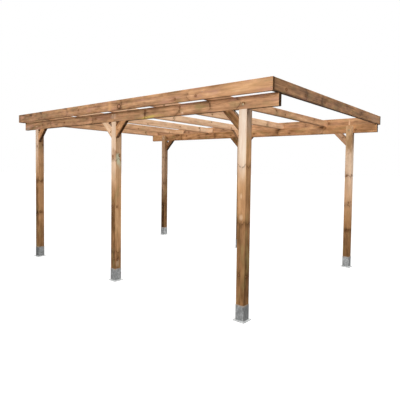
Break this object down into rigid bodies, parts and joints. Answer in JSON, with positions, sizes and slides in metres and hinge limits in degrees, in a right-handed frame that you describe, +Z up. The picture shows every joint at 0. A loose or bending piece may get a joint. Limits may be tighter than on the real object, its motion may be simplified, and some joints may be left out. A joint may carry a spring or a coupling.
{
  "type": "timber carport frame",
  "caption": "Open flat-roofed timber carport frame: notched square posts in bolt-down steel shoes carry braced beams, rafters and side fascia boards.",
  "frame": {"origin": "on the ground at the middle of the frame's plan", "axes": "+X across to the low row of posts, +Y along to the rear end, +Z up"},
  "size_m": [3.02, 4.7, 2.2457],
  "materials": {
    "post_timber": "planed, pressure treated",
    "beam_timber": "planed, pressure treated",
    "brace_timber": "planed, pressure treated",
    "rafter_timber": "planed, pressure treated",
    "fascia_timber": "planed, pressure treated",
    "zinc": "hot-dip galvanised, matt"
  },
  "bodies": {
    "root": {"left_front_shoe": "zinc", "left_middle_shoe": "zinc", "left_rear_shoe": "zinc", "right_front_shoe": "zinc", "right_middle_shoe": "zinc", "right_rear_shoe": "zinc", "left_front_post": "post_timber", "left_middle_post": "post_timber", "left_rear_post": "post_timber", "right_front_post": "post_timber", "right_middle_post": "post_timber", "right_rear_post": "post_timber", "left_front_beam": "beam_timber", "left_rear_beam": "beam_timber", "right_front_beam": "beam_timber", "right_rear_beam": "beam_timber", "left_front_brace": "brace_timber", "left_middle_front_brace": "brace_timber", "left_middle_rear_brace": "brace_timber", "left_rear_brace": "brace_timber", "left_cross_brace": "brace_timber", "right_front_brace": "brace_timber", "right_middle_front_brace": "brace_timber", "right_middle_rear_brace": "brace_timber", "right_rear_brace": "brace_timber", "right_cross_brace": "brace_timber", "front_end_rafter": "rafter_timber", "second_rafter": "rafter_timber", "third_rafter": "rafter_timber", "middle_rafter": "rafter_timber", "fifth_rafter": "rafter_timber", "sixth_rafter": "rafter_timber", "rear_end_rafter": "rafter_timber", "left_fascia": "fascia_timber", "right_fascia": "fascia_timber"}
  },
  "joints": []
}
